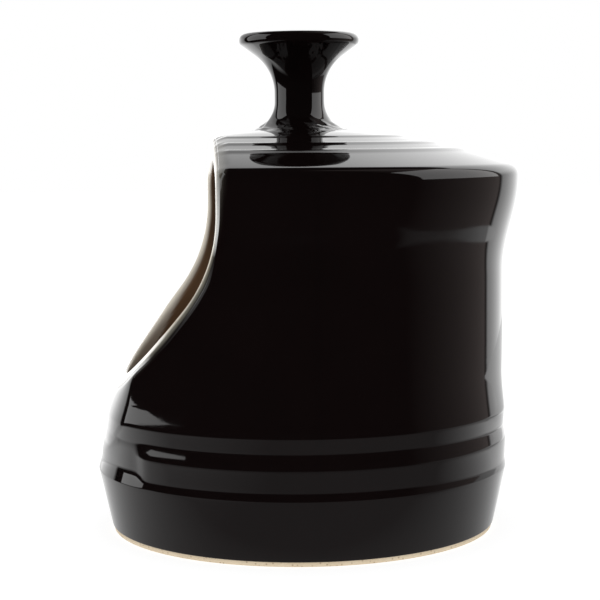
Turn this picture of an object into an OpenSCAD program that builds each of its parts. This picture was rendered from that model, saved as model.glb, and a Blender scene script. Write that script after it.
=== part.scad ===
// Salt pig: an open-mouthed salt cellar in glazed stoneware.
// A cast clay shell with a ringed crown, a knob luted on top, and three coats of glaze.
// Millimetres. The origin is on the axis at the table, +Z is up and the mouth faces -Y.
// Outer sizes are taken over the glaze.

/* [Body] */
// Width across the shoulder, the widest place
shoulder_d = 120; // [112:1:136]
// Height at which the wall reaches its full width
shoulder_h = 97.6; // [92:0.2:112]
// Radius of the edge between wall and crown
shoulder_edge_r = 2.2; // [1:0.1:4]
// Height of the flare between waist and shoulder
flare_rise = 29.6; // [20:0.2:36]
// Width of the straight waist
waist_d = 111.4; // [104:0.2:116]
// Thickness of the clay wall
wall_t = 6.75; // [5:0.25:8]
// Thickness of the clay floor
floor_t = 6; // [4:0.25:9]
// Radius of the hollow between floor and wall
floor_hollow_r = 9; // [5:0.5:14]
// Radius of the hollow between wall and crown
crown_hollow_r = 5; // [2:0.5:8]

/* [Wall rings] */
// Width across the crests of the rings
crest_d = 113.2; // [108:0.2:118]
// Depth of the grooves between the crests
groove_t = 0.85; // [0.4:0.05:1.5]
// Height of the lowest crest above the table
low_crest_h = 17.2; // [12:0.2:20]
// Rise from the lowest crest to the bottom of the lower groove
low_groove_rise = 2; // [1.6:0.2:5]
// Rise from the bottom of the lower groove to the middle crest
mid_crest_rise = 6.2; // [3:0.2:9]
// Rise from the middle crest to the bottom of the upper groove
top_groove_rise = 3.6; // [1.6:0.2:5]
// Rise from the bottom of the upper groove to the top crest
top_crest_rise = 4.2; // [1.6:0.2:6]
// Rise from the top crest to the waist
waist_rise = 10.8; // [6:0.2:16]
// Angle of the plain panel at the front between the ends of the lower groove
low_panel_angle = 52; // [30:1:80]
// Angle of the plain panel at the front between the ends of the upper groove
top_panel_angle = 75; // [40:1:100]

/* [Foot] */
// Width at the line where the outer glaze stops
glaze_line_d = 106.4; // [100:0.2:110]
// Height of the line where the outer glaze stops
glaze_line_h = 1.3; // [1:0.1:3]
// Width of the bare ring that stands on the table
foot_ring_w = 6; // [4:0.25:10]
// Bevel on the outer edge of the foot ring
foot_bevel = 0.6; // [0.2:0.1:0.8]
// Depth of the recess under the base
recess_h = 2.2; // [1:0.1:3.5]

/* [Crown] */
// Radius of the sphere that the crown is a part of
crown_sphere_r = 175; // [130:5:260]
// Thickness of the clay crown
crown_t = 5; // [4:0.25:7]
// Width across the outer ridge
outer_ridge_d = 90; // [84:1:96]
// Width across the middle ridge
mid_ridge_d = 75; // [68:1:80]
// Width across the inner ridge
inner_ridge_d = 57; // [52:1:64]
// Height of the ridges
ridge_h = 0.6; // [0.3:0.05:1.2]
// Width of the ridges
ridge_w = 3.2; // [2:0.1:4]

/* [Knob] */
// Width of the knob
knob_d = 33; // [29:0.5:40]
// Width of the neck
neck_d = 13.7; // [11:0.1:16]
// Height of the straight part of the neck
neck_h = 2.3; // [0.5:0.1:10]
// Radius of the trumpet between neck and rim
trumpet_r = 12.5; // [8:0.25:15]
// Slope of the underside of the rim, from upright
trumpet_angle = 56; // [45:1:65]
// Radius of the rounded rim
rim_r = 1.9; // [1.2:0.1:2.4]
// Rise of the top of the knob above its rim
cap_rise = 0.44; // [0.2:0.02:1.5]
// Radius of the fillet between neck and crown
neck_fillet_r = 8; // [5:0.25:9]
// Thickness of the slip under the knob
slip_t = 1.2; // [0.6:0.1:2]

/* [Mouth] */
// Distance from the axis to the upright part of the cut
chord_y = 24.6; // [21:0.1:30]
// Height at which the cut starts to sweep forward
throat_h = 88; // [82:0.5:92]
// Radius of the sweep below the upright part
throat_r = 40; // [25:1:50]
// Radius of the sweep into the front wall
lip_sweep_r = 27; // [18:1:32]
// Height at which the sweep runs out in front of the wall
sweep_foot_h = 24; // [20:0.5:27]
// Room between the wall and the ends of the cuts that run out on it
run_out = 0.06; // [0.04:0.01:0.2]
// Height of the line on the front at which the cream of the rim meets the black
lip_h = 39.5; // [36:0.5:44]

/* [Glaze] */
// Thickness of each glaze coat
glaze_t = 0.5; // [0.3:0.05:0.8]

/* [Hidden] */
$fn = 180;
arc_steps = 8;
span_steps = 8;
clay_colour = [0.78, 0.66, 0.50];
black_colour = [0.05, 0.045, 0.045];
cream_colour = [0.90, 0.84, 0.72];

shoulder_r = shoulder_d / 2;
waist_r = waist_d / 2;
crest_r = crest_d / 2;
neck_r = neck_d / 2;
// Heights along the wall, from the rings up.
low_groove_h = low_crest_h + low_groove_rise;
mid_crest_h = low_groove_h + mid_crest_rise;
top_groove_h = mid_crest_h + top_groove_rise;
top_crest_h = top_groove_h + top_crest_rise;
waist_h = top_crest_h + waist_rise;
flare_h = shoulder_h - flare_rise;
// The foot, in bare clay.
foot_r = glaze_line_d / 2 - glaze_t;
recess_r = foot_r - foot_ring_w;
floor_h = recess_h + floor_t;
// The crown's sphere is tangent to the edge of the shoulder.
edge_y = shoulder_r - shoulder_edge_r;
sphere_h = shoulder_h - leg(crown_sphere_r - shoulder_edge_r, edge_y);
edge_angle = atan2(shoulder_h - sphere_h, edge_y);
// The ceiling follows the crown, and its hollow is tangent to both wall and ceiling.
ceiling_r = crown_sphere_r - glaze_t - crown_t;
hollow_r = shoulder_r - glaze_t - wall_t;
hollow_waist_r = waist_r - glaze_t - wall_t;
hollow_ring_r = crest_r - groove_t - glaze_t - wall_t;
hollow_y = hollow_r - crown_hollow_r;
hollow_h = sphere_h + leg(ceiling_r - crown_hollow_r, hollow_y);
hollow_angle = atan2(hollow_h - sphere_h, hollow_y);
// The fillet round the neck is tangent to the crown's sphere. Its toe gives the height of the seat.
fillet_y = neck_r + neck_fillet_r;
fillet_h = sphere_h + leg(crown_sphere_r + neck_fillet_r, fillet_y);
toe_angle = atan2(fillet_h - sphere_h, fillet_y);
seat_h = fillet_h - (neck_fillet_r + glaze_t) * sin(toe_angle);
slip_top_h = seat_h + slip_t;
slip_angle = asin((fillet_h - slip_top_h) / (neck_fillet_r + glaze_t));
// The trumpet runs straight and tangent into the rounded rim of the knob.
trumpet_h = fillet_h + neck_h;
trumpet_end_y = neck_r + trumpet_r * (1 - cos(trumpet_angle));
trumpet_end_h = trumpet_h + trumpet_r * sin(trumpet_angle);
rim_y = knob_d / 2 - rim_r;
underside_y = rim_y + rim_r * cos(trumpet_angle);
underside_h = trumpet_end_h + (underside_y - trumpet_end_y) / tan(trumpet_angle);
rim_h = underside_h + rim_r * sin(trumpet_angle);
overall_h = rim_h + rim_r + cap_rise;
// The two sweeps of the mouth have one straight tangent between them.
throat_y = -chord_y - throat_r;
sweep_y = lip_sweep_r - crest_r - run_out;
sweep_run = sweep_y - throat_y;
sweep_drop = throat_h - sweep_foot_h;
sweep_tilt = asin((throat_r + lip_sweep_r) / norm([sweep_run, sweep_drop]));
sweep_angle = sweep_tilt - atan2(sweep_run, sweep_drop);

// Second leg of a triangle with a right angle
function leg(long_side, first_leg) = sqrt(long_side * long_side - first_leg * first_leg);
// Soft step from 0 to 1
function ease(t) = (1 - cos(180 * t)) / 2;
// Points of an arc about (y, h), from angle a to angle b
function arc(y, h, r, a, b) =
    [for (i = [0 : arc_steps]) let (t = a + (b - a) * i / arc_steps) [y + r * cos(t), h + r * sin(t)]];
// Points after the first of a wall that runs softly from radius r at height a to radius s at height b
function soft_span(r, a, s, b) =
    [for (i = [1 : span_steps]) let (t = i / span_steps) [r + (s - r) * ease(t), a + (b - a) * t]];
// Points after the first of a wall that leaves radius r at height a at a slope and fades into radius s
function fading_span(r, a, s, b) =
    [for (i = [1 : span_steps]) let (t = i / span_steps) [r + (s - r) * sin(90 * t), a + (b - a) * t]];
// Points of a sphere on the crown's centre, from radius r towards radius s
function sphere_span(sphere_r, r, s) =
    [for (i = [1 : span_steps]) let (q = r + (s - r) * i / span_steps) [q, sphere_h + leg(sphere_r, q)]];
// Points across a ridge of the crown
function ridge(sphere_r, ridge_d) =
    [for (i = [-arc_steps : arc_steps]) let (t = i / arc_steps, q = (ridge_d - ridge_w * t) / 2)
        [q, sphere_h + leg(sphere_r, q) + ridge_h * ease(1 - abs(t))]];

// Outline of wall and crown at depth d under the glaze, from the glaze line to the inner ridge
function shell_outline(d) = concat(
    [[glaze_line_d / 2 - d, glaze_line_h], [crest_r - d, low_crest_h], [crest_r - d, top_crest_h]],
    fading_span(crest_r - d, top_crest_h, waist_r - d, waist_h),
    [[waist_r - d, flare_h]],
    soft_span(waist_r - d, flare_h, shoulder_r - d, shoulder_h),
    arc(edge_y, shoulder_h, shoulder_edge_r - d, 0, edge_angle),
    ridge(crown_sphere_r - d, outer_ridge_d),
    ridge(crown_sphere_r - d, mid_ridge_d),
    ridge(crown_sphere_r - d, inner_ridge_d)
);
// Outline of the toe of the neck's fillet, from the crown to the top of the slip
function toe_outline(d) =
    arc(fillet_y, fillet_h, neck_fillet_r + d, 180 + toe_angle, 180 + slip_angle);
// Outline of the knob, from the top of the slip to the middle of its cap
function knob_outline(d) = concat(
    arc(fillet_y, fillet_h, neck_fillet_r + d, 180 + slip_angle, 180),
    arc(neck_r + trumpet_r, trumpet_h, trumpet_r + d, 180, 180 - trumpet_angle),
    arc(rim_y, rim_h, rim_r - d, trumpet_angle - 90, 90),
    [[0, overall_h - d]]
);
// Outline of the whole form above the glaze line, with no mouth and no hollow
function form_outline(d) = concat([[0, glaze_line_h]], shell_outline(d), toe_outline(d), knob_outline(d));
// Outline of the hollow inside the shell, at depth d above the clay
function hollow_outline(d) = concat(
    [[0, floor_h + d]],
    arc(hollow_ring_r - floor_hollow_r, floor_h + floor_hollow_r, floor_hollow_r - d, -90, 0),
    [[hollow_ring_r - d, top_crest_h]],
    soft_span(hollow_ring_r - d, top_crest_h, hollow_waist_r - d, waist_h),
    [[hollow_waist_r - d, flare_h]],
    soft_span(hollow_waist_r - d, flare_h, hollow_r - d, hollow_h),
    arc(hollow_y, hollow_h, crown_hollow_r - d, 0, hollow_angle),
    sphere_span(ceiling_r - d, hollow_y, 0)
);

// An outline of radius and height, turned about the axis
module turned(outline) {
    rotate_extrude()
        polygon(outline);
}

// A groove at depth d under the glaze between two crests, which stops at both sides of a plain panel
module groove(d, low_h, bottom_h, high_h, panel_angle) {
    half_panel = panel_angle / 2 - atan(d / crest_r);
    rim = crest_r - d + run_out;
    bottom = crest_r - d - groove_t;
    rotate([0, 0, half_panel - 90])
        rotate_extrude(angle = 360 - 2 * half_panel)
            polygon(concat(
                [[rim, low_h]],
                soft_span(rim, low_h, bottom, bottom_h),
                soft_span(bottom, bottom_h, rim, high_h),
                [[shoulder_d, high_h], [shoulder_d, low_h]]
            ));
}

// Both grooves between the rings
module grooves(d) {
    groove(d, low_crest_h, low_groove_h, mid_crest_h, low_panel_angle);
    groove(d, mid_crest_h, top_groove_h, top_crest_h, top_panel_angle);
}

// The space in front of the mouth's cut between two heights, with the cut moved back by d
module mouth_space(d, low_h, high_h) {
    rotate([90, 0, 90])
        linear_extrude(height = 2 * shoulder_d, center = true)
            intersection() {
                polygon(concat(
                    [[-shoulder_d, overall_h], [d - chord_y, overall_h]],
                    arc(throat_y, throat_h, throat_r + d, 0, -sweep_angle),
                    arc(sweep_y, sweep_foot_h, lip_sweep_r - d, 180 - sweep_angle, 180),
                    [[-shoulder_d, sweep_foot_h]]
                ));
                translate([-shoulder_d, low_h])
                    square([shoulder_d, high_h - low_h]);
            }
}

// The form without its hollow at depth d under the glaze, with the grooves and the cut up to a height
module cut_form(d, high_h) {
    difference() {
        turned(form_outline(d));
        mouth_space(d, 0, high_h);
        grooves(d);
    }
}

// The room inside the shell, at depth d above the clay
module room(d) {
    turned(hollow_outline(d));
}

// The cast clay shell: foot, wall, floor and crown in one, with the mouth cut out
module stoneware_body() {
    color(clay_colour)
        difference() {
            turned(concat(
                [[0, 0], [foot_r - foot_bevel, 0], [foot_r, foot_bevel]],
                shell_outline(glaze_t),
                [toe_outline(glaze_t)[0], [0, seat_h]]
            ));
            grooves(glaze_t);
            mouth_space(glaze_t, 0, overall_h);
            room(0);
            cylinder(h = recess_h, r = recess_r);
        }
}

// The solid knob, from the slip that it stands on to its cap
module knob() {
    color(clay_colour)
        turned(concat([[0, slip_top_h]], knob_outline(glaze_t)));
}

// The slip between knob and crown, with its smoothed toe round the neck
module luting_slip() {
    color(clay_colour)
        turned(concat([[0, seat_h]], toe_outline(glaze_t), [[0, slip_top_h]]));
}

// The black coat over wall, crown and knob, and on the swept front below the rim
module outer_glaze() {
    color(black_colour)
        difference() {
            cut_form(0, overall_h);
            cut_form(glaze_t, lip_h);
        }
}

// The cream coat of the room, which wraps over the cut rim of the mouth
module liner_glaze() {
    color(cream_colour)
        difference() {
            intersection() {
                turned(form_outline(glaze_t));
                union() {
                    room(0);
                    mouth_space(glaze_t, lip_h, overall_h);
                }
            }
            mouth_space(0, 0, overall_h);
            room(glaze_t);
        }
}

// The black coat in the recess under the base
module base_glaze() {
    color(black_colour)
        translate([0, 0, recess_h - glaze_t])
            cylinder(h = glaze_t, r = recess_r);
}

stoneware_body();
knob();
luting_slip();
outer_glaze();
liner_glaze();
base_glaze();
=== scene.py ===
# %% [markdown]
# # A black-glazed salt pig
# A salt pig is a round stoneware pot with an open mouth, a domed crown and a knob to lift it by.
# The pot is one clay shell under three coats of glaze: black outside, cream inside, black under
# the base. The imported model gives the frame: where each coat lies, how wide and how high it is.
# Here numpy makes each coat one smooth surface of two parameters, because glossy black shows
# every flat facet in its reflections.

# %% Load the frame and take the main sizes from it
import math

import bpy
import numpy as np
from mathutils import Matrix, Vector


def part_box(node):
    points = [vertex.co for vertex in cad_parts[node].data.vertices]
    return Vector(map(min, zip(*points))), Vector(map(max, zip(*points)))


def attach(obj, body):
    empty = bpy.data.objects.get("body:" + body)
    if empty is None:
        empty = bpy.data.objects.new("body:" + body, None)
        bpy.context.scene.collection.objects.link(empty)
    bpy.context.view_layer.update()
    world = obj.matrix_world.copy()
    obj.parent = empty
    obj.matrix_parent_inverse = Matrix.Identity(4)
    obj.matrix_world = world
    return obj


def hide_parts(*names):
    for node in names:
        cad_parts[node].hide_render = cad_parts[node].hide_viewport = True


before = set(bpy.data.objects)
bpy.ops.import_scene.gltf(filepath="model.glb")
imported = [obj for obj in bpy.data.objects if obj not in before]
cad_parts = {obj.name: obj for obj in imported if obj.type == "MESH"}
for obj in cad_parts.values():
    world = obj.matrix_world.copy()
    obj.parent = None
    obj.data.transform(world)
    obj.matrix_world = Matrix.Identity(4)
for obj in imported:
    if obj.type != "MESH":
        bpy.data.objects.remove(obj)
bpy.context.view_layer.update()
scene, MM = bpy.context.scene, 0.001


def node_box(node):
    """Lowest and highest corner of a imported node, in millimetres."""
    low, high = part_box(node)
    return np.array(low) / MM, np.array(high) / MM


coat_low, coat_high = node_box("outer_glaze")
base_low, base_high = node_box("base_glaze")
GLAZE_T = base_high[2] - base_low[2]
SHOULDER_R, OVERALL_H, GLAZE_LINE_H = coat_high[1], coat_high[2], coat_low[2]
RECESS_R, RECESS_H = base_high[0], base_high[2]
TOE_R = node_box("luting_slip")[1][0]
KNOB_R = node_box("knob")[1][0] + GLAZE_T
FLOOR_H = node_box("liner_glaze")[0][2] + GLAZE_T
print(f"shoulder {SHOULDER_R:.2f}, height {OVERALL_H:.2f}, glaze {GLAZE_T:.2f}, knob {KNOB_R:.2f} mm")

# %% [markdown]
# ## The outline that the pot is turned to
# A potter shapes the wall, the rings, the crown and the knob as one outline turned about an
# axis. A spline through measured points could give it, but arcs and soft steps say what each
# stretch is: a straight foot, rings between grooves, a flare, a dome with ridges, a trumpet.
# Joined, they are one table of radius and height along the length of the outline.

# %% Helpers for stretches of an outline
FINE, BEND_POINTS = 240, 16  # points on a long curve and on a rounded corner
DOUBLED = 1e-7


def ease(t):
    """Soft step from 0 to 1: half a cosine wave."""
    return (1 - np.cos(np.pi * np.clip(t, 0, 1))) / 2


def step_between(low, high, x):
    """0 below low, 1 above high and a soft step between them."""
    return ease((x - low) / (high - low))


def band(rise, fall, x):
    """A soft step up over one range of x, and down again over another."""
    return step_between(*rise, x) * (1 - step_between(*fall, x))


def fade(t):
    """Leaves 0 at a slope and fades into 1: a quarter of a sine wave."""
    return np.sin(np.pi / 2 * t)


def stretch(course, r, z, r_end, z_end):
    """From one point to the next, height runs evenly and radius by a course from 0 to 1."""
    t = np.linspace(0, 1, FINE)
    return np.stack([r + (r_end - r) * course(t), z + (z_end - z) * t])


def rounded_stretch(corners, reach):
    """Straight runs through corners of radius and height, each inner corner rounded.

    A corner becomes a quadratic curve between the points a reach before it and after it.
    """
    corners = np.array(corners, float)
    before, at, after = corners[:-2], corners[1:-1], corners[2:]
    reach = np.reshape(reach, (-1, 1))
    a = at + reach * (before - at) / np.linalg.norm(before - at, axis=1, keepdims=True)
    b = at + reach * (after - at) / np.linalg.norm(after - at, axis=1, keepdims=True)
    t = np.linspace(0, 1, BEND_POINTS)[:, None]
    bends = a[:, None] * (1 - t) ** 2 + at[:, None] * 2 * t * (1 - t) + b[:, None] * t**2
    return np.concatenate([corners[:1], bends.reshape(-1, 2), corners[-1:]]).T


def arc_stretch(r, z, radius, start, end):
    """Points about the centre (r, z) at one radius, from a start angle to an end angle."""
    a = np.radians(np.linspace(start, end, FINE))
    return np.stack([r + radius * np.cos(a), z + radius * np.sin(a)])


def along(stretches):
    """Joins stretches and gives length so far, radius and height, without doubled points."""
    points = np.concatenate(stretches, axis=1)
    moved = np.hypot(*np.diff(points, axis=1))
    points = points[:, np.r_[True, moved > DOUBLED]]
    length = np.r_[0, np.cumsum(np.hypot(*np.diff(points, axis=1)))]
    return length, points[0], points[1]


def outline_at(outline, length):
    """Radius and height at lengths along an outline."""
    return np.interp(length, outline[0], outline[1]), np.interp(length, outline[0], outline[2])


# %% The outer outline, from the glaze line to the middle of the knob
CREST_R, WAIST_R, GROOVE_R = 56.6, 55.7, (56.28, 56.035)
CREST_H, GROOVE_H = (17.2, 25.4, 33.2), (19.2, 29.0)
WAIST_H, FLARE_H, SHOULDER_H, SHOULDER_EDGE_R = 44.0, 71.0, 96.6, 3.6
HOLLOW_R, HOLLOW_H, HOLLOW_REACH = 56.300, 27.2, 1.25
GLAZE_LINE_R, BEAD_R, BEAD_START, CREST_REACH = 53.2, 0.45, -80.0, 0.5
CROWN_SPHERE_R, RIDGE_R, RIDGE_T, RIDGE_W = 175.0, (45.0, 37.5, 28.5), 0.28, 4.4
NECK_R, NECK_FILLET_R, NECK_H = 6.85, 8.0, 2.3
TRUMPET_R, TRUMPET_ANGLE, KNOB_RIM_R, CAP_RISE = 12.5, 56.0, 1.9, 0.44
CROWN_POINTS = 6 * FINE

EDGE_R = SHOULDER_R - SHOULDER_EDGE_R
SPHERE_H = SHOULDER_H - math.sqrt((CROWN_SPHERE_R - SHOULDER_EDGE_R) ** 2 - EDGE_R**2)
FILLET_R = NECK_R + NECK_FILLET_R
FILLET_H = SPHERE_H + math.sqrt((CROWN_SPHERE_R + NECK_FILLET_R) ** 2 - FILLET_R**2)
CROWN_TOE_R = FILLET_R * CROWN_SPHERE_R / (CROWN_SPHERE_R + NECK_FILLET_R)


def crown_height(r, sphere_r, ridge_t):
    """Height of the domed crown: a sphere, with a soft ridge at each ridge radius."""
    ridges = sum(ease(1 - np.abs(r - at) / (RIDGE_W / 2)) for at in RIDGE_R)
    return SPHERE_H + np.sqrt(sphere_r**2 - r**2) + ridge_t * ridges


def outer_outline():
    """Glaze bead, straight foot, rings, waist, flare, shoulder, crown, neck, trumpet and cap."""
    foot_lean = math.degrees(math.atan2(CREST_R - GLAZE_LINE_R, CREST_H[0] - GLAZE_LINE_H))
    waist_slope = math.pi / 2 * (CREST_R - WAIST_R) / (WAIST_H - CREST_H[2])
    edge_angle = math.degrees(math.atan2(SHOULDER_H - SPHERE_H, EDGE_R))
    toe_angle = math.degrees(math.atan2(FILLET_H - SPHERE_H, FILLET_R))
    crown_start_r = EDGE_R * CROWN_SPHERE_R / (CROWN_SPHERE_R - SHOULDER_EDGE_R)
    crown_r = np.linspace(crown_start_r, CROWN_TOE_R, CROWN_POINTS)
    rim_r = KNOB_R - KNOB_RIM_R
    rim_h = OVERALL_H - CAP_RISE - KNOB_RIM_R
    cap = np.linspace(rim_r, 0, FINE)
    bead_z = GLAZE_LINE_H + BEAD_R * math.cos(math.radians(foot_lean))
    return along([
        arc_stretch(GLAZE_LINE_R - BEAD_R, bead_z, BEAD_R, BEAD_START, -foot_lean),
        rounded_stretch([
            ((GLAZE_LINE_R + CREST_R) / 2, (GLAZE_LINE_H + CREST_H[0]) / 2),
            (CREST_R, CREST_H[0]), (GROOVE_R[0], GROOVE_H[0]), (CREST_R, CREST_H[1]),
            (HOLLOW_R, HOLLOW_H), (GROOVE_R[1], GROOVE_H[1]),
            (CREST_R, CREST_H[2]), (CREST_R - waist_slope, CREST_H[2] + 1),
        ], [CREST_REACH] * 3 + [HOLLOW_REACH] + [CREST_REACH] * 2),
        # The last run of the rings stands in for the first tenth of the fade.
        stretch(fade, CREST_R, CREST_H[2], WAIST_R, WAIST_H)[:, FINE // 10:],
        stretch(ease, WAIST_R, FLARE_H, SHOULDER_R, SHOULDER_H),
        arc_stretch(EDGE_R, SHOULDER_H, SHOULDER_EDGE_R, 0, edge_angle),
        np.stack([crown_r, crown_height(crown_r, CROWN_SPHERE_R, RIDGE_T)]),
        arc_stretch(FILLET_R, FILLET_H, NECK_FILLET_R, 180 + toe_angle, 180),
        arc_stretch(NECK_R + TRUMPET_R, FILLET_H + NECK_H, TRUMPET_R, 180, 180 - TRUMPET_ANGLE),
        arc_stretch(rim_r, rim_h, KNOB_RIM_R, TRUMPET_ANGLE - 90, 90),
        np.stack([cap, OVERALL_H - CAP_RISE * (cap / rim_r) ** 2]),
    ])


OUTER = outer_outline()
print(f"outer outline {OUTER[0][-1]:.1f} mm, top {OUTER[2][-1]:.2f}, widest {OUTER[1].max():.2f}")

# %% [markdown]
# ## The room for the salt
# Casting leaves an even wall, so the room follows the outside, but without its rings. An offset
# of the outer outline would carry them inside, so the room has an outline of its own.

# %% The inner outline, from the middle of the floor to the middle of the ceiling
WALL_T, CROWN_T, FLOOR_HOLLOW_R, CROWN_HOLLOW_R, RING_T = 6.75, 5.0, 9.0, 5.0, 0.85
SHELL_T = WALL_T + 2 * GLAZE_T
ROOM_R = SHOULDER_R - SHELL_T
ROOM_WAIST_R = WAIST_R - SHELL_T
ROOM_RING_R = CREST_R - RING_T - SHELL_T
CEILING_SPHERE_R = CROWN_SPHERE_R - CROWN_T - 2 * GLAZE_T


def inner_outline():
    """Floor, hollow, straight wall behind the rings, waist, flare, hollow and domed ceiling."""
    floor_arc_r = FLOOR_HOLLOW_R - GLAZE_T
    ceiling_arc_r = CROWN_HOLLOW_R - GLAZE_T
    hollow_r = ROOM_R - ceiling_arc_r
    hollow_h = SPHERE_H + math.sqrt((CEILING_SPHERE_R - ceiling_arc_r) ** 2 - hollow_r**2)
    hollow_angle = math.degrees(math.atan2(hollow_h - SPHERE_H, hollow_r))
    ceiling_r = np.linspace(hollow_r, 0, FINE)
    return along([
        np.array([[0.0], [FLOOR_H]]),
        arc_stretch(ROOM_RING_R - floor_arc_r, FLOOR_H + floor_arc_r, floor_arc_r, -90, 0),
        stretch(ease, ROOM_RING_R, CREST_H[2], ROOM_WAIST_R, WAIST_H),
        stretch(ease, ROOM_WAIST_R, FLARE_H, ROOM_R, hollow_h),
        arc_stretch(hollow_r, hollow_h, ceiling_arc_r, 0, hollow_angle),
        np.stack([ceiling_r, SPHERE_H + np.sqrt(CEILING_SPHERE_R**2 - ceiling_r**2)]),
    ])


INNER = inner_outline()
print(f"inner outline {INNER[0][-1]:.1f} mm long, ceiling at {INNER[2][-1]:.2f} mm")

# %% [markdown]
# ## The mouth
# The mouth is one cut across the front: upright through the crown, then swept forward in an
# ogee until it runs out on the rings. Below the lip the same sweep is the face of the front
# wall. A boolean would leave a sharp edge and a ragged mesh, so the cut is a formula: how far
# forward the sweep stands at each height, and how wide the mouth is there.

# %% The sweep of the cut and the width of the mouth
CHORD_Y, THROAT_H, THROAT_R = 24.6, 88.0, 40.0
SWEEP_R, SWEEP_FOOT_H, RUN_OUT, LEAN = 27.0, 24.0, 0.06, 0.35
LIP_H, LIP_RISE, MOUTH_CORNER = 39.5, 25.0, 8.0
SWEEP_Y = CREST_R + RUN_OUT - SWEEP_R
THROAT_Y = CHORD_Y + THROAT_R
SWEEP_RUN, SWEEP_DROP = THROAT_Y - SWEEP_Y, THROAT_H - SWEEP_FOOT_H
SWEEP_TILT = math.asin((THROAT_R + SWEEP_R) / math.hypot(SWEEP_RUN, SWEEP_DROP))
SWEEP_ANGLE = SWEEP_TILT - math.atan2(SWEEP_RUN, SWEEP_DROP)


def cut_y(z, back):
    """How far the sweep stands in front of the axis at height z, moved back by a distance.

    Upright above the throat, an arc below it, a straight slope, then an arc into the wall.
    Below the sweep's foot it leans away from the wall, so that it no longer cuts.
    """
    throat_r, sweep_r = THROAT_R + back, SWEEP_R - back
    throat_end = THROAT_H - throat_r * math.sin(SWEEP_ANGLE)
    sweep_top = SWEEP_FOOT_H + sweep_r * math.sin(SWEEP_ANGLE)
    throat = THROAT_Y - np.sqrt(throat_r**2 - np.clip(THROAT_H - z, 0, THROAT_H - throat_end) ** 2)
    slope = (throat_end - z) * math.tan(SWEEP_ANGLE)
    slope_end = (throat_end - sweep_top) * math.tan(SWEEP_ANGLE)
    sweep = SWEEP_Y + np.sqrt(sweep_r**2 - np.clip(z - SWEEP_FOOT_H, 0, sweep_top - SWEEP_FOOT_H) ** 2)
    y = throat + np.clip(slope, 0, slope_end)
    y = np.where(z < sweep_top, sweep, y)
    return y + LEAN * np.maximum(SWEEP_FOOT_H - z, 0)


def soft_min(a, b, k):
    """The smaller of two values, with the corner between them rounded over a width k."""
    k = np.maximum(k, 1e-6)
    h = np.clip(0.5 + 0.5 * (b - a) / k, 0, 1)
    return b + (a - b) * h - k * h * (1 - h)


def held_by_lip(angle, z, lip):
    """An angle narrowed to the U of the lip by a power mean.

    The U is z = lip + rise * angle squared.
    """
    by_lip = np.sqrt(np.maximum(z - lip, 0) / LIP_RISE)
    angle, by_lip = np.maximum(angle, 1e-9), np.maximum(by_lip, 1e-9)
    return (angle**-MOUTH_CORNER + by_lip**-MOUTH_CORNER) ** (-1 / MOUTH_CORNER)


print(f"sweep leans {math.degrees(SWEEP_ANGLE):.1f} degrees, "
      f"face at the lip {cut_y(np.array(LIP_H), 0):.2f} mm out")

# %% [markdown]
# ## Outer and inner skin
# A skin takes a place along its outline and an angle round the axis, and gives a point. The
# front face is the smaller of two distances, the turned wall and the sweep, with the corner
# between them rounded. On the front a plain panel, its foot set in, replaces the middle ring.

# %% The two skins as functions of outline length and angle
PANEL_HALF, PANEL_FADE = 37.5, 3.0
PANEL_FOOT_R, PANEL_FOOT_H = 55.6, 20.4
PANEL_H = (CREST_H[0], PANEL_FOOT_H, GROOVE_H[1], CREST_H[2])
PANEL_R = (CREST_R, PANEL_FOOT_R, GROOVE_R[1], CREST_R)
FACE_CORNER, CORNER_FROM, CORNER_TO = 8.0, (14.0, 34.0), (36.0, 50.0)
MIN_COS = 0.02


def to_points(rho, phi, z):
    """Points from distance to the axis, angle from the front (-Y) towards +X, and height."""
    return np.stack(np.broadcast_arrays(rho * np.sin(phi), -rho * np.cos(phi), z), axis=-1)


def outer_skin(length, phi):
    """Turned wall, without its middle ring on the front panel, cut by the front sweep."""
    r, z = outline_at(OUTER, length)
    from_front = np.degrees(np.abs((phi + np.pi) % (2 * np.pi) - np.pi))
    panel = 1 - step_between(PANEL_HALF - PANEL_FADE, PANEL_HALF + PANEL_FADE, from_front)
    ringed = (z > CREST_H[0]) & (z < CREST_H[2])
    r = r + np.where(ringed, (np.interp(z, PANEL_H, PANEL_R) - r) * panel, 0)
    face = cut_y(z, 0) / np.maximum(np.cos(phi), MIN_COS)
    return to_points(soft_min(r, face, FACE_CORNER * band(CORNER_FROM, CORNER_TO, z)), phi, z)


def inner_skin(length, phi):
    """The turned room: radius and height of the inner outline at a length along it."""
    r, z = outline_at(INNER, length)
    return to_points(r, phi, z)


print(f"panel {2 * PANEL_HALF:.0f} degrees wide, its foot {CREST_R - PANEL_FOOT_R:.1f} mm set in")

# %% [markdown]
# ## Rows and columns
# A good grid is close where the outline turns and open where it runs straight. Rows follow the
# outline, columns go round it. Between lip and crown the rows stop at the mouth's edge, and they
# draw together at both of its ends, where it runs along them.

# %% Rows along an outline, and the mouth's edge on them
ROW_STEP, ROW_TURN = 1.5, math.radians(7)
NECK_END_R, MEET_POINTS = 10.0, 100 * FINE
RIM_SHARE = (0.0, 0.15, 0.3, 0.55, 0.75, 1.0, 1.15, 2.0)


def crowding(outline):
    """Rows so far along an outline: one for each step of length or of turn."""
    length, r, z = outline
    heading = np.unwrap(np.arctan2(np.gradient(z, length), np.gradient(r, length)))
    rows = np.abs(np.diff(heading)) / ROW_TURN + np.diff(length) / ROW_STEP
    return np.r_[0, np.cumsum(rows)]


def rows_between(outline, start, end, t=None):
    """Lengths along the outline between two places, crowded where it turns."""
    rows = crowding(outline)
    a, b = np.interp([start, end], outline[0], rows)
    if t is None:
        t = np.linspace(0, 1, max(2, int(round(b - a)) + 1))
    return np.interp(a + (b - a) * t, rows, outline[0])


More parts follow.
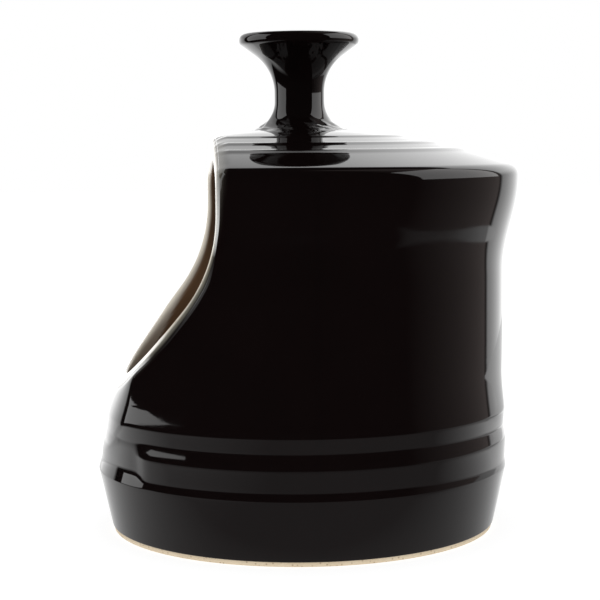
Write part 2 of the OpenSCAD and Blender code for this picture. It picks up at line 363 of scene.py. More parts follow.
def length_at_height(outline, z):
    """Where the outline first reaches a height."""
    rising = slice(outline[1].argmax())
    return np.interp(z, outline[2][rising], outline[0][rising])


def length_at_crown(outline, r):
    """Where the outline comes back to a radius on the crown or the ceiling."""
    widest = outline[1].argmax()
    inward = slice(widest, widest + np.argmax(outline[1][widest:] < NECK_END_R))
    return np.interp(-r, -outline[1][inward], outline[0][inward])


def length_at_cut(outline, back):
    """The highest place below the throat at which the cut still stands outside the wall."""
    length = np.linspace(0, outline[0][outline[1].argmax()], MEET_POINTS)
    r, z = outline_at(outline, length)
    return length[(cut_y(z, back) > r) & (z < THROAT_H)].max()


class MouthEdge:
    """An edge of the mouth on one skin, set back from the cut by a table along it.

    Shares run along it: 0 where it starts, at its lip or where the cut meets the wall, 1 at the
    shoulder and 2 on the crown. Its marks are the lengths along the outline at these three.
    """

    def __init__(self, outline, skin, edge_z, back, lip=None):
        self.outline, self.skin, self.back, self.lip = outline, skin, back, lip
        self.marks = [
            length_at_cut(outline, back[0]) if lip is None else length_at_height(outline, lip - back[0]),
            length_at_height(outline, edge_z),
            length_at_crown(outline, CHORD_Y - back[-1]),
        ]

    def lengths(self, share):
        """Lengths along the outline at shares of the edge."""
        return np.interp(share, [0, 1, 2], self.marks)

    def half_angle(self, length):
        """Half the mouth's angle at lengths along the outline."""
        r, z = outline_at(self.outline, length)
        back = np.interp(np.interp(length, self.marks, [0, 1, 2]), RIM_SHARE, self.back)
        angle = np.arccos(np.clip(cut_y(z, back) / np.maximum(r, 1e-6), -1, 1))
        if self.lip is not None:
            angle = held_by_lip(angle, z, self.lip - back)
        inside = (length > self.marks[0]) & (length < self.marks[2])
        return np.where(inside, angle, 0)

    def points(self, share):
        """Points of the edge on the right of the mouth."""
        length = self.lengths(share)
        return self.skin(length, self.half_angle(length))


# %% [markdown]
# ## The rim of the mouth
# The cut shows the wall's thickness. Black rolls over its outer edge and thins out, then cream
# covers the flat and rolls into the room. A bevel would be the same all round, and a real rim
# isn't, so tables along the edge say how far each roll reaches.

# %% The edges of the mouth on both skins
RIM_BACK = (1.6, 2.8, 4.0, 4.2, 2.8, 1.9, 4.0, 4.0)
RIM_FACE = (1.2, 1.2, 1.2, 1.2, 0.8, 1.0, 2.5, 2.5)
BLACK_END = (0.33, 0.33, 0.33, 0.36, 0.42, 0.42, 0.5, 0.5)
RIM_IN = (2.2, 2.8, 3.2, 2.8, 2.4, 2.2, 2.2, 2.2)
FLUSH = np.zeros(len(RIM_SHARE))
ROOM_SHOULDER_H = 93.0
outer_edge = MouthEdge(OUTER, outer_skin, SHOULDER_H, FLUSH, LIP_H)
outer_hem = MouthEdge(OUTER, outer_skin, SHOULDER_H, RIM_BACK, LIP_H)
inner_edge = MouthEdge(INNER, inner_skin, ROOM_SHOULDER_H, FLUSH)
inner_hem = MouthEdge(INNER, inner_skin, ROOM_SHOULDER_H, RIM_IN)
print("mouth's edge passes", np.round(outer_edge.marks, 1), "mm along the outer outline")

# %% Lay the grids of both skins and of the rim between them
MOUTH_ROWS, COLUMNS, FRONT_CROWDING = 132, 150, 0.4
PUSH, NARROW = 4.0, 0.1
FLAT_W, TURN_SHARE = 0.2, 1.2
BLACK_TURN, CREAM_TURN, FLAT_TURN, ROOM_TURN = 12, 8, 4, 10  # points across each part of the rim
column_v = np.linspace(0, 1, COLUMNS + 1)
column_phi = 2 * np.pi * column_v - FRONT_CROWDING * np.sin(2 * np.pi * column_v)


def skin_grid(skin, lengths, half_angle):
    """Points of a skin: rows along the outline, columns from one side of the mouth to the other.

    The mouth pushes the columns aside, most at its edge and not at all four half angles away.
    """
    half = half_angle[:, None]
    aside = np.minimum(column_phi, 2 * np.pi - column_phi) / np.clip(PUSH * half, NARROW, np.pi)
    push = half * (1 - np.minimum(aside, 1))
    return skin(lengths[:, None], column_phi + np.where(column_v < 0.5, push, -push))


def bend(a, corner, b, start, end, count):
    """Quadratic curves from a to b that lean on the corner, between two parameters of each row."""
    start, end = np.broadcast_to(start, len(a)), np.broadcast_to(end, len(a))
    t = (start[:, None] + (end - start)[:, None] * np.linspace(0, 1, count))[..., None]
    a, corner, b = a[:, None], corner[:, None], b[:, None]
    return a * (1 - t) ** 2 + corner * 2 * t * (1 - t) + b * t**2


mouth_t = np.linspace(0, 1, MOUTH_ROWS)
mouth_t = mouth_t**2 * (3 - 2 * mouth_t)
mouth_rows = rows_between(OUTER, outer_hem.marks[0], outer_hem.marks[2], t=mouth_t)
share = np.interp(mouth_rows, outer_hem.marks, [0, 1, 2])
foot_rows = rows_between(OUTER, 0, outer_hem.marks[0])
crown_rows = rows_between(OUTER, outer_hem.marks[2], OUTER[0][-1])
outer_lengths = np.r_[foot_rows[:-1], mouth_rows, crown_rows[1:]]
outer_grid = skin_grid(outer_skin, outer_lengths, outer_hem.half_angle(outer_lengths))

floor_rows = rows_between(INNER, 0, inner_hem.marks[0])
ceiling_rows = rows_between(INNER, inner_hem.marks[2], INNER[0][-1])
inner_lengths = np.r_[floor_rows[:-1], inner_hem.lengths(share), ceiling_rows[1:]]
inner_grid = skin_grid(inner_skin, inner_lengths, inner_hem.half_angle(inner_lengths))

out_hem, out_edge = outer_hem.points(share), outer_edge.points(share)
in_hem, in_edge = inner_hem.points(share), inner_edge.points(share)
across = in_edge - out_edge
rim_w = np.linalg.norm(across, axis=1, keepdims=True)
across /= rim_w
face_w = np.interp(share, RIM_SHARE, RIM_FACE)[:, None]
turn_w = TURN_SHARE * np.interp(share, RIM_SHARE, RIM_IN)[:, None]
turn_w = np.minimum(turn_w, rim_w - face_w - FLAT_W)
flat_start, flat_end = out_edge + across * face_w, in_edge - across * turn_w
black_end = np.interp(share, RIM_SHARE, BLACK_END)
black_hem = bend(out_hem, out_edge, flat_start, 0, black_end, BLACK_TURN)
cream_hem = np.concatenate([
    bend(out_hem, out_edge, flat_start, black_end, 1, CREAM_TURN),
    bend(flat_start, (flat_start + flat_end) / 2, flat_end, 0, 1, FLAT_TURN)[:, 1:],
    bend(flat_end, in_edge, in_hem, 0, 1, ROOM_TURN)[:, 1:],
], axis=1)
print("outer grid", outer_grid.shape, "inner grid", inner_grid.shape)
print(f"rim {rim_w.min():.2f} to {rim_w.max():.2f} mm wide")

# %% [markdown]
# ## From grids to meshes
# Grids meet along seams: the front of each full row, the poles on the axis, the mouth's edge. Points
# that coincide are welded, so that the shading runs on across a seam and the coats are closed.
# Whole arrays do it: rounding, a search for equal rows and a new index for each corner.

# %% Weld grids and make a mesh object
WELD = 1e-4


def grid_quads(rows, columns, first, flip):
    """Corner indices of a grid's quads. flip turns the faces the other way."""
    at = first + np.arange(rows * columns).reshape(rows, columns)
    quads = np.stack([at[:-1, :-1], at[:-1, 1:], at[1:, 1:], at[1:, :-1]], axis=-1).reshape(-1, 4)
    return quads[:, ::-1] if flip else quads


def joined(grids):
    """Points and quads of several (points, flip) grids as one list of each."""
    points = np.concatenate([grid.reshape(-1, 3) for grid, _ in grids])
    firsts = np.cumsum([0] + [grid.shape[0] * grid.shape[1] for grid, _ in grids])
    quads = [grid_quads(*grid.shape[:2], first, flip) for (grid, flip), first in zip(grids, firsts)]
    return points, np.concatenate(quads)


def equal_points(points):
    """Which points to keep, one of those that coincide, and where each point is among the kept."""
    cells = np.round(points / WELD).astype(np.int64)
    _, keep, index = np.unique(cells, axis=0, return_index=True, return_inverse=True)
    return keep, index.ravel()


def weld(points, faces):
    """Makes coinciding points one. A face keeps four corners, with one doubled in a triangle."""
    keep, index = equal_points(points)
    faces = index[faces]
    doubled = (faces == np.roll(faces, -1, axis=1)).sum(1)
    return points[keep], faces[doubled < 2]


def split_faces(faces):
    """Quads, and the triangles among them without their doubled corner."""
    doubled = faces == np.roll(faces, -1, axis=1)
    flat = doubled.any(1)
    order = (np.argmax(doubled[flat], axis=1)[:, None] + np.array([1, 2, 3])) % 4
    return faces[~flat], np.take_along_axis(faces[flat], order, axis=1)


def mesh_object(name, points, faces):
    """A smooth-shaded mesh object at the origin, from millimetre points and corner indices."""
    mesh = bpy.data.meshes.new(name)
    quads, triangles = split_faces(faces)
    corners = np.r_[quads.ravel(), triangles.ravel()]
    starts = np.r_[np.arange(len(quads)) * 4, len(quads) * 4 + np.arange(len(triangles)) * 3]
    mesh.vertices.add(len(points))
    mesh.vertices.foreach_set("co", (points * MM).astype(np.float32).ravel())
    mesh.loops.add(len(corners))
    mesh.loops.foreach_set("vertex_index", corners.astype(np.int32))
    mesh.polygons.add(len(starts))
    mesh.polygons.foreach_set("loop_start", starts.astype(np.int32))
    mesh.polygons.foreach_set("use_smooth", np.ones(len(starts), bool))
    mesh.update(calc_edges=True)
    mesh.validate()
    made = bpy.data.objects.new(name, mesh)
    scene.collection.objects.link(made)
    print(f"{name}: {len(points)} points, {len(quads)} quads, {len(triangles)} triangles")
    return made


def mirrored(grid):
    """The same grid on the other side of the plane X = 0."""
    return grid * np.array([-1, 1, 1])


def both_sides(rim):
    """The rim's grid on the right of the mouth and on its left, with the turns of their faces."""
    return (rim, True), (mirrored(rim), False)


def add_wall(piece, thickness):
    """Gives a coat its thickness, inwards from the surface that shows."""
    wall = piece.modifiers.new("wall", "SOLIDIFY")
    wall.thickness, wall.offset, wall.use_rim = thickness * MM, -1, True


# %% [markdown]
# ## Marks of the hand
# A cast pot is never perfect: it leans a little in the kiln, and the glaze gathers in folds where
# the knob is luted on. One smooth field of sine waves moves every coat alike, so they stay seated
# on each other, and a finer one wrinkles the toe of the neck.

# %% A shared field of small irregularities
WARP_T, WARP_H, WARP_R = 0.10, (2.0, 25.0), 20.0
WRINKLE_T, WRINKLE_FROM_R, WRINKLE_TO_R = 0.13, (8.2, 10.0), (13.5, 16.5)
WRINKLE_FROM_H, WRINKLE_TO_H = (107.0, 109.0), (112.0, 114.5)


def hand_made(points):
    """Moves points by slow sine waves, none at the foot, and wrinkles the toe of the neck."""
    x, y, z = np.moveaxis(points, -1, 0)
    rise = step_between(*WARP_H, z)
    phi = np.arctan2(x, -y)
    r = np.hypot(x, y)
    swell = np.sin(2 * phi + 0.6) + 0.6 * np.sin(3 * phi + z / 31) + 0.4 * np.sin(z / 17 + phi)
    wave = np.sin(7 * phi + 1.9 * np.sin(r) + z) * np.sin(1.7 * r + 3 * np.sin(2 * phi + 1))
    wave = wave + 0.7 * np.sin(13 * phi - 2.3 * r + 2 * np.sin(3 * phi))
    toe = band(WRINKLE_FROM_R, WRINKLE_TO_R, r) * band(WRINKLE_FROM_H, WRINKLE_TO_H, z)
    out = np.stack([np.sin(phi), -np.cos(phi), np.zeros_like(phi)], axis=-1)
    up = np.array([0, 0, 1.0])
    swell = (WARP_T * rise * swell / 2 * np.minimum(r / WARP_R, 1))[..., None]
    wrinkle = (WRINKLE_T * toe * wave)[..., None]
    return points + out * (swell + 0.5 * wrinkle) + up * wrinkle


def hand_joined(*grids):
    """Joins grids and moves their points by the field."""
    points, faces = joined(grids)
    return hand_made(points), faces


# %% [markdown]
# ## Marks for the finishes
# Along the rim the glaze is thin and dull. A painted mask could say where. A number at each point
# needs no picture: it comes from the distance to the line where black meets cream.

# %% Numbers that a mesh carries for its finish
SLAB = 4000


def distance_to(points, line):
    """Distance from each point to the nearest point of a line, a slab of points at a time."""
    slabs = np.array_split(points, max(1, len(points) // SLAB))
    return np.concatenate([np.sqrt(((s[:, None] - line) ** 2).sum(-1).min(1)) for s in slabs])


def mark(piece, name, value):
    """Stores one number per point for a finish to read."""
    attribute = piece.data.attributes.new(name, "FLOAT", "POINT")
    attribute.data.foreach_set("value", value.astype(np.float32))


break_line = hand_made(np.concatenate([black_hem[:, -1], mirrored(black_hem[:, -1])]))
print("break line:", len(break_line), "points")

# %% [markdown]
# ## The black coat
# The outer glaze was poured over the whole outside, down to a line wiped clean above the foot. It
# rolls over the mouth's edge and runs out over the cream in a thin grey-green break. The coat is
# the outer grid with the first part of the rim. Its marks say where it is thin, at the break, and
# where it is dull, on the swept part of the rim.

# %% Make the black coat
COAT_T = 0.9 * GLAZE_T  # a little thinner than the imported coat, to stay clear of the clay
BREAK_W, DULL_W = 3.2, (3.0, 5.0)
MATT_H, SHINE_H = (42.0, 52.0), (78.0, 98.0)
black_points, black_faces = weld(*hand_joined((outer_grid, False), *both_sides(black_hem)))
black_coat = mesh_object("black_coat", black_points, black_faces)
from_break = distance_to(black_points, break_line)
matt = band(MATT_H, SHINE_H, black_points[:, 2])
mark(black_coat, "thin", 1 - step_between(0, BREAK_W, from_break))
mark(black_coat, "dull", matt * (1 - step_between(*DULL_W, from_break)))
add_wall(black_coat, COAT_T)
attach(black_coat, "root")
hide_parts("outer_glaze")

# %% [markdown]
# ## The cream coat
# The room inside was glazed first, in cream, and the cream wraps out over the rim. It is the
# inner grid with the rest of the rim, and its faces look into the room. Its marks say where a
# brown painted shade takes over from the cream behind the rim, where a darker painted shade
# covers the room towards the ceiling, and where the coat is thin or dull.

# %% Make the cream coat
# Depth behind the cut, at each height, at which the painted shade of the room begins.
ROOM_H, ROOM_FROM = (50.0, 57.0, 62.0, 70.0, 80.0, 95.0), (4.0, 2.4, 1.7, 1.2, 0.65, 0.5)
FADE_H, FADE_W = (50.0, 58.0, 68.0, 78.0), (1.2, 3.0, 4.4, 1.4)
ROOM_FADE, SHADE_H = 0.9, (62.0, 82.0)
DULL_RIM_W, RIM_MATT_H = (9.0, 14.0), (46.0, 58.0)
cream_points, cream_faces = weld(*hand_joined((inner_grid, True), *both_sides(cream_hem)))
cream_coat = mesh_object("cream_coat", cream_points, cream_faces)
cream_z = cream_points[:, 2]
depth = cut_y(cream_z, 0) + cream_points[:, 1] - np.interp(cream_z, ROOM_H, ROOM_FROM)
from_break = distance_to(cream_points, break_line)
thin_w = np.interp(cream_z, FADE_H, FADE_W)
matt = band(RIM_MATT_H, SHINE_H, cream_z)
# Painted shade: cream turns brown a little behind the cut, and darker brown towards the ceiling.
mark(cream_coat, "room", step_between(0, ROOM_FADE, depth))
mark(cream_coat, "shade", step_between(*SHADE_H, cream_z))
mark(cream_coat, "thin", 1 - step_between(0, thin_w, from_break))
mark(cream_coat, "dull", matt * (1 - step_between(*DULL_RIM_W, from_break)))
add_wall(cream_coat, COAT_T)
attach(cream_coat, "root")
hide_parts("liner_glaze")

# %% [markdown]
# ## The clay body
# Under the coats is the clay, bare only on the foot ring. It is the same skin moved in by one
# glaze, with the foot, its bevel and the recess under the base turned as one more outline.

# %% Make the clay body
FOOT_R, FOOT_BEVEL, RECESS_FILLET_R = GLAZE_LINE_R - GLAZE_T, 0.35, 0.5
TURNED_STEP, SEAT_ROWS = 0.8, 12
toe_row = np.searchsorted(outer_lengths, length_at_crown(OUTER, TOE_R))
full_rim = np.concatenate([black_hem, cream_hem[:, 1:]], axis=1)


def turned_grid(stretches):
    """An outline turned about the axis, with the same columns as the skins."""
    outline = along(stretches)
    rows = np.union1d(np.arange(0, outline[0][-1], TURNED_STEP), outline[0][[0, -1]])
    r, z = outline_at(outline, rows[:, None])
    return to_points(r, column_phi, z)


def moved_in(points, faces, depth):
    """Moves points against their own normals, each the sum of the normals of its faces."""
    a, b, c, d = (points[faces[:, k]] for k in range(4))
    face_normals = np.cross(c - a, d - b)
    normals = np.zeros_like(points)
    for k in range(4):
        np.add.at(normals, faces[:, k], face_normals)
    return points - depth * normals / np.linalg.norm(normals, axis=1, keepdims=True)


skin, quads = hand_joined((outer_grid[:toe_row], False), *both_sides(full_rim), (inner_grid, True))
skin_points, skin_faces = weld(skin, quads)
clay_points = moved_in(skin_points, skin_faces, GLAZE_T)
wall_at = equal_points(skin)[1][: toe_row * (COLUMNS + 1)].reshape(toe_row, COLUMNS + 1)
foot_row, seat_row = clay_points[wall_at[0]], clay_points[wall_at[-1]]
foot_grid = turned_grid([
    np.array([[0.0, RECESS_R - RECESS_FILLET_R], [RECESS_H, RECESS_H]]),
    arc_stretch(RECESS_R - RECESS_FILLET_R, RECESS_H - RECESS_FILLET_R, RECESS_FILLET_R, 90, 0),
    arc_stretch(RECESS_R + RECESS_FILLET_R, RECESS_FILLET_R, RECESS_FILLET_R, 180, 270),
    arc_stretch(FOOT_R - FOOT_BEVEL, FOOT_BEVEL, FOOT_BEVEL, -90, 0),
    np.array([[FOOT_R], [GLAZE_LINE_H]]),
])
seat_grid = seat_row * np.linspace(1, 0, SEAT_ROWS)[:, None, None] * np.array([1, 1, 0])
seat_grid = seat_grid + seat_row * np.array([0, 0, 1])
foot_points, foot_faces = joined([
    (np.concatenate([foot_grid, foot_row[None]]), False),
    (seat_grid, False),
])
clay_body = mesh_object("clay_body", *weld(
    np.concatenate([clay_points, foot_points]),
    np.concatenate([skin_faces, foot_faces + len(clay_points)]),
))
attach(clay_body, "root")
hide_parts("stoneware_body")

# %% [markdown]
# ## The coat under the base
# Inside the foot ring the base is glazed black as well. Glaze climbs the wall of the recess a
# little as it melts, so the coat is a flat disc with a curved edge, turned about the axis.

# %% Make the base coat
MENISCUS_R, MENISCUS_END, BASE_GAP = 1.0, 8.0, 0.02
base_edge_r, base_top_h = RECESS_R - BASE_GAP, RECESS_H - BASE_GAP
base_bottom_h = RECESS_H - GLAZE_T
base_outline = [
    np.array([[0.0], [base_bottom_h]]),
    arc_stretch(base_edge_r - MENISCUS_R, base_bottom_h - MENISCUS_R, MENISCUS_R, 90, MENISCUS_END),
    arc_stretch(base_edge_r - RECESS_FILLET_R, base_top_h - RECESS_FILLET_R, RECESS_FILLET_R, 0, 90),
    np.array([[0.0], [base_top_h]]),
]
base_coat = mesh_object("base_coat", *weld(*joined([(turned_grid(base_outline), True)])))
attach(base_coat, "root")
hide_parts("base_glaze")

# %% [markdown]
# ## Finishes
# Pictures of glaze could be wrapped round the pot. Here each finish is procedural: noise and dots
# in the object's own coordinates, so that it has no seam and stays put in every view.

# %% Helpers for finishes
NOISE_SPAN = (0.3, 0.7)


def new_finish(name):
    """A new material, its node tree, its main shader and the object's coordinates in metres."""
    material = bpy.data.materials.new(name)
    material.use_nodes = True
    tree = material.node_tree
    place = tree.nodes.new("ShaderNodeTexCoord").outputs["Object"]
    print("finish", name)
    return material, tree, tree.nodes["Principled BSDF"], place


def fill(tree, node, inputs):
    """Fills inputs of a node, each with a value or from another node's socket."""
    for key, value in inputs.items():
        if isinstance(value, bpy.types.NodeSocket):
            tree.links.new(value, node.inputs[key])
        else:
            node.inputs[key].default_value = value


def add_node(tree, kind, inputs=(), **settings):
    """Adds a shader node of a kind, sets its properties, then fills its inputs."""
    node = tree.nodes.new("ShaderNode" + kind)
    for key, value in settings.items():
        setattr(node, key, value)
    fill(tree, node, dict(inputs))
    return node


def noise(tree, place, scale, detail=3.0):
    """Noise of a given number of cells per metre, from 0 to 1."""
    inputs = {"Vector": place, "Scale": scale, "Detail": detail}
    return add_node(tree, "TexNoise", inputs).outputs["Fac"]


def dots(tree, place, scale):
    """Distance to the nearest of scattered dots, of a given number per metre."""
    inputs = {"Vector": place, "Scale": scale}
    return add_node(tree, "TexVoronoi", inputs).outputs["Distance"]


def ranged(tree, value, low, high, to_low, to_high):
    """A value moved from one range to another, and held inside it."""
    inputs = {"Value": value, "From Min": low, "From Max": high, "To Min": to_low, "To Max": to_high}
    return add_node(tree, "MapRange", inputs).outputs["Result"]


def mixed(tree, factor, first, second):
    """A colour between two colours."""
    inputs = {0: factor, 6: first, 7: second}
    return add_node(tree, "Mix", inputs, data_type="RGBA").outputs[2]


def bumped(tree, height, bump, under=None):
    """A bump of a given strength and depth in metres, on top of another bump."""
    inputs = {"Height": height, "Strength": bump[0], "Distance": bump[1]}
    if under:
        inputs["Normal"] = under
    return add_node(tree, "Bump", inputs).outputs["Normal"]


def mark_of(tree, name):
    """A number that a piece carries at each point."""
    return add_node(tree, "Attribute", attribute_name=name).outputs["Fac"]


# %% [markdown]
# ## Black glaze
# Black glaze is glass over a dark body: nearly no colour of its own, a mirror with a faint
# ripple, a few pinholes and a roughness that drifts. Where it is thin it breaks to grey-green.

# %% The black finish
BLACK_BODY = (0.0036, 0.0020, 0.0020, 1), (0.0054, 0.0030, 0.0030, 1)
BREAK_TINTS = (0.13, 0.125, 0.105, 1), (0.19, 0.175, 0.145, 1)
RIPPLE, PEEL, PINHOLES, PINHOLE_SIZE = (0.035, 0.0008), (0.008, 0.0002), (0.05, 0.0001), 0.02
BLACK_ROUGH, BLACK_IOR = (0.015, 0.06), 1.55


def black_glaze_finish():
    """Dark mirror with a slow ripple, fine peel, pinholes and a grey-green break where it is thin."""
    material, tree, shader, place = new_finish("black_glaze")
    body = mixed(tree, noise(tree, place, scale=60.0), *BLACK_BODY)
    break_tint = mixed(tree, noise(tree, place, scale=900.0), *BREAK_TINTS)
    ripple = bumped(tree, noise(tree, place, scale=45.0, detail=1.0), RIPPLE)
    peel = bumped(tree, noise(tree, place, scale=420.0, detail=2.0), PEEL, ripple)
    holes = ranged(tree, dots(tree, place, scale=130.0), 0.0, PINHOLE_SIZE, 0.0, 1.0)
    fill(tree, shader, {
        "Base Color": mixed(tree, mark_of(tree, "thin"), body, break_tint),
        "Roughness": ranged(tree, noise(tree, place, scale=140.0), *NOISE_SPAN, *BLACK_ROUGH),
        "IOR": BLACK_IOR,
        "Specular IOR Level": ranged(tree, mark_of(tree, "dull"), 0.0, 1.0, 0.5, 0.0),
        "Normal": bumped(tree, holes, PINHOLES, peel),
    })
    return material


black_glaze = black_glaze_finish()

# %% [markdown]
# ## Cream glaze
# The cream glaze is the same glass over pale slip, with iron specks. Its rim catches the light.
# Behind it the room is painted brown as shade, and darker towards the ceiling.

# %% The cream finish
CREAM_RIM = (0.84, 0.77, 0.65, 1), (0.90, 0.84, 0.73, 1)
# Painted shade: brown for the room behind the rim, and a darker brown towards its ceiling.
ROOM_WALL_PAINTED_SHADE = (0.32, 0.19, 0.105, 1), (0.40, 0.25, 0.145, 1)
ROOM_SHADE, THIN_TINT, SPECK_TINT = (0.15, 0.09, 0.055, 1), (0.16, 0.15, 0.125, 1), (0.33, 0.22, 0.12, 1)
SPECK_SIZE, SPECK_LEVEL = (0.06, 0.14), 0.7
CREAM_RIPPLE, CREAM_GRAIN = (0.10, 0.0006), (0.03, 0.0002)
CREAM_ROUGH, CREAM_IOR = (0.10, 0.22), 1.5


def cream_glaze_finish():
    """Pale glossy glass with drifting warmth, fine iron specks and a slow ripple; a room painted brown
    as shade.
    """
    material, tree, shader, place = new_finish("cream_glaze")
    rim = mixed(tree, noise(tree, place, scale=40.0), *CREAM_RIM)
    rim = mixed(tree, mark_of(tree, "thin"), rim, THIN_TINT)
    # Painted shade: the room's wall is brown, and darker still towards the ceiling.
    wall = mixed(tree, noise(tree, place, scale=25.0), *ROOM_WALL_PAINTED_SHADE)
    wall = mixed(tree, mark_of(tree, "shade"), wall, ROOM_SHADE)
    body = mixed(tree, mark_of(tree, "room"), rim, wall)
    specks = ranged(tree, dots(tree, place, scale=260.0), *SPECK_SIZE, SPECK_LEVEL, 0.0)
    ripple = bumped(tree, noise(tree, place, scale=60.0, detail=1.0), CREAM_RIPPLE)
    fill(tree, shader, {
        "Base Color": mixed(tree, specks, body, SPECK_TINT),
        "Roughness": ranged(tree, noise(tree, place, scale=120.0), *NOISE_SPAN, *CREAM_ROUGH),
        "IOR": CREAM_IOR,
        "Specular IOR Level": ranged(tree, mark_of(tree, "dull"), 0.0, 1.0, 0.5, 0.0),
        "Normal": bumped(tree, noise(tree, place, scale=600.0), CREAM_GRAIN, ripple),
    })
    return material


cream_glaze = cream_glaze_finish()

# %% [markdown]
# ## Bare stoneware
# Fired clay is matt, sandy and grainy. It shows as a line at the foot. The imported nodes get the
# finishes of the pieces that stand for them. Knob and slip, under the black coat, get that of clay.

# %% The clay finish, and a finish for each piece
CLAY_BODY, GRAIN_TINT = ((0.70, 0.56, 0.38, 1), (0.84, 0.72, 0.54, 1)), (0.30, 0.19, 0.10, 1)
GRAIN_SIZE, GRAIN_LEVEL = (0.10, 0.30), 0.6
CLAY_ROUGH, CLAY_BUMP = (0.75, 0.95), (0.4, 0.0002)


def stoneware_finish():
    """Matt fired clay: sandy colour, darker grog grains, and a fine rough bump."""
    material, tree, shader, place = new_finish("stoneware")
    body = mixed(tree, noise(tree, place, scale=180.0), *CLAY_BODY)
    grains = ranged(tree, dots(tree, place, scale=900.0), *GRAIN_SIZE, GRAIN_LEVEL, 0.0)
    fill(tree, shader, {
        "Base Color": mixed(tree, grains, body, GRAIN_TINT),
        "Roughness": ranged(tree, noise(tree, place, scale=700.0), *NOISE_SPAN, *CLAY_ROUGH),
        "Normal": bumped(tree, noise(tree, place, scale=1500.0, detail=4.0), CLAY_BUMP),
    })
    return material


def dress(piece, material):
    """Gives a piece one finish."""
    piece.data.materials.clear()
    piece.data.materials.append(material)


stoneware = stoneware_finish()
dress(black_coat, black_glaze)
dress(base_coat, black_glaze)
dress(cream_coat, cream_glaze)
dress(clay_body, stoneware)
covers = {
    "outer_glaze": black_glaze, "base_glaze": black_glaze, "liner_glaze": cream_glaze,
    "stoneware_body": stoneware, "knob": stoneware, "luting_slip": stoneware,
}
for name, cover in covers.items():
    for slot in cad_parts[name].material_slots:
        slot.material = cover
print("dressed four pieces and", len(covers), "packed nodes")

# %% [markdown]
# ## Camera
# The photograph was taken from the side, a little in front of square and a little above the
# crown. The camera is placed by its distance, height, turn, tilt and roll, all found from the
# outline of the pot. Its lens is long, as for most pictures of products.

# %% Place the camera
VIEW_TURN, VIEW_TILT, VIEW_ROLL = math.radians(4.3), 0.0964, 0.0087
VIEW_DISTANCE, VIEW_SIDE, VIEW_HEIGHT = 0.465, -0.0003, 0.1072
LENS, SENSOR, CLIP_START = 100.8, 36.0, 0.05
to_camera = Vector((math.cos(VIEW_TURN), -math.sin(VIEW_TURN), 0))
to_right = Vector((math.sin(VIEW_TURN), math.cos(VIEW_TURN), 0))
upward = Vector((0, 0, 1))
back = to_camera * math.cos(VIEW_TILT) + upward * math.sin(VIEW_TILT)
top = upward * math.cos(VIEW_TILT) - to_camera * math.sin(VIEW_TILT)
side = to_right * math.cos(VIEW_ROLL) - top * math.sin(VIEW_ROLL)
top = to_right * math.sin(VIEW_ROLL) + top * math.cos(VIEW_ROLL)
camera = bpy.data.objects.new("camera", bpy.data.cameras.new("camera"))
camera.data.lens, camera.data.sensor_width = LENS, SENSOR
camera.data.clip_start = CLIP_START
place = to_right * VIEW_SIDE + to_camera * VIEW_DISTANCE + upward * VIEW_HEIGHT
camera.matrix_world = Matrix.Translation(place) @ Matrix((side, top, back)).transposed().to_4x4()
scene.collection.objects.link(camera)
scene.camera = camera
print("camera at", [round(v, 3) for v in camera.matrix_world.translation])

# %% [markdown]
# ## Light
# A black mirror shows the room more than it shows itself. The studio is a white sheet behind
# the pot, a dim side past the sheet's right end, a soft box on each side and darkness in front.
# For the camera the sheet is white all round. Reflections see it only behind the pot, and matt
# surfaces get an even, plain light.

# %% The sheet behind the pot and the even light
SHEET_HALF, SHEET_TOP, SHEET_SOFT = np.radians((52, 46, 1.5))
DARK_LEVEL, EVEN_LEVEL, DIM_LEVEL, DIM_COLOUR = 0.01, 0.70, 0.32, (1, 0.86, 0.82, 1)
LOW_LEVELS, LOW_TURNS = (1.7, 0.95), np.radians((25, 52))
HIGH_LEVELS, HIGH_TURNS = (0.85, 1.9), np.radians((-12, 14))
RAISED = np.radians((5, 15))
DIM_START, DIM_END = np.radians((53, 56)), math.radians(120)
scene.view_settings.view_transform = "Standard"
world = bpy.data.worlds.new("studio")
world.use_nodes = True
scene.world = world
sky = world.node_tree
sky.nodes.clear()


def dot_with(tree, vector, direction):
    """How far a direction goes along another."""
    node = add_node(tree, "VectorMath", {0: vector, 1: direction}, operation="DOT_PRODUCT")
    return node.outputs["Value"]


def math_node(tree, operation, first, second=0.0):
    """One step of arithmetic."""
    return add_node(tree, "Math", {0: first, 1: second}, operation=operation).outputs[0]


def blend(tree, factor, first, second):
    """A number between two numbers: first + factor * (second - first)."""
    rest = math_node(tree, "SUBTRACT", second, first)
    return math_node(tree, "ADD", first, math_node(tree, "MULTIPLY", factor, rest))


def mixed_shaders(tree, factor, first, second):
    """A shader between two shaders."""
    inputs = {0: factor, 1: first.outputs[0], 2: second.outputs[0]}
    return add_node(tree, "MixShader", inputs)


def all_round(level, colour=(1, 1, 1, 1)):
    """A light of one level and colour from the world."""
    return add_node(sky, "Background", {"Strength": level, "Color": colour})


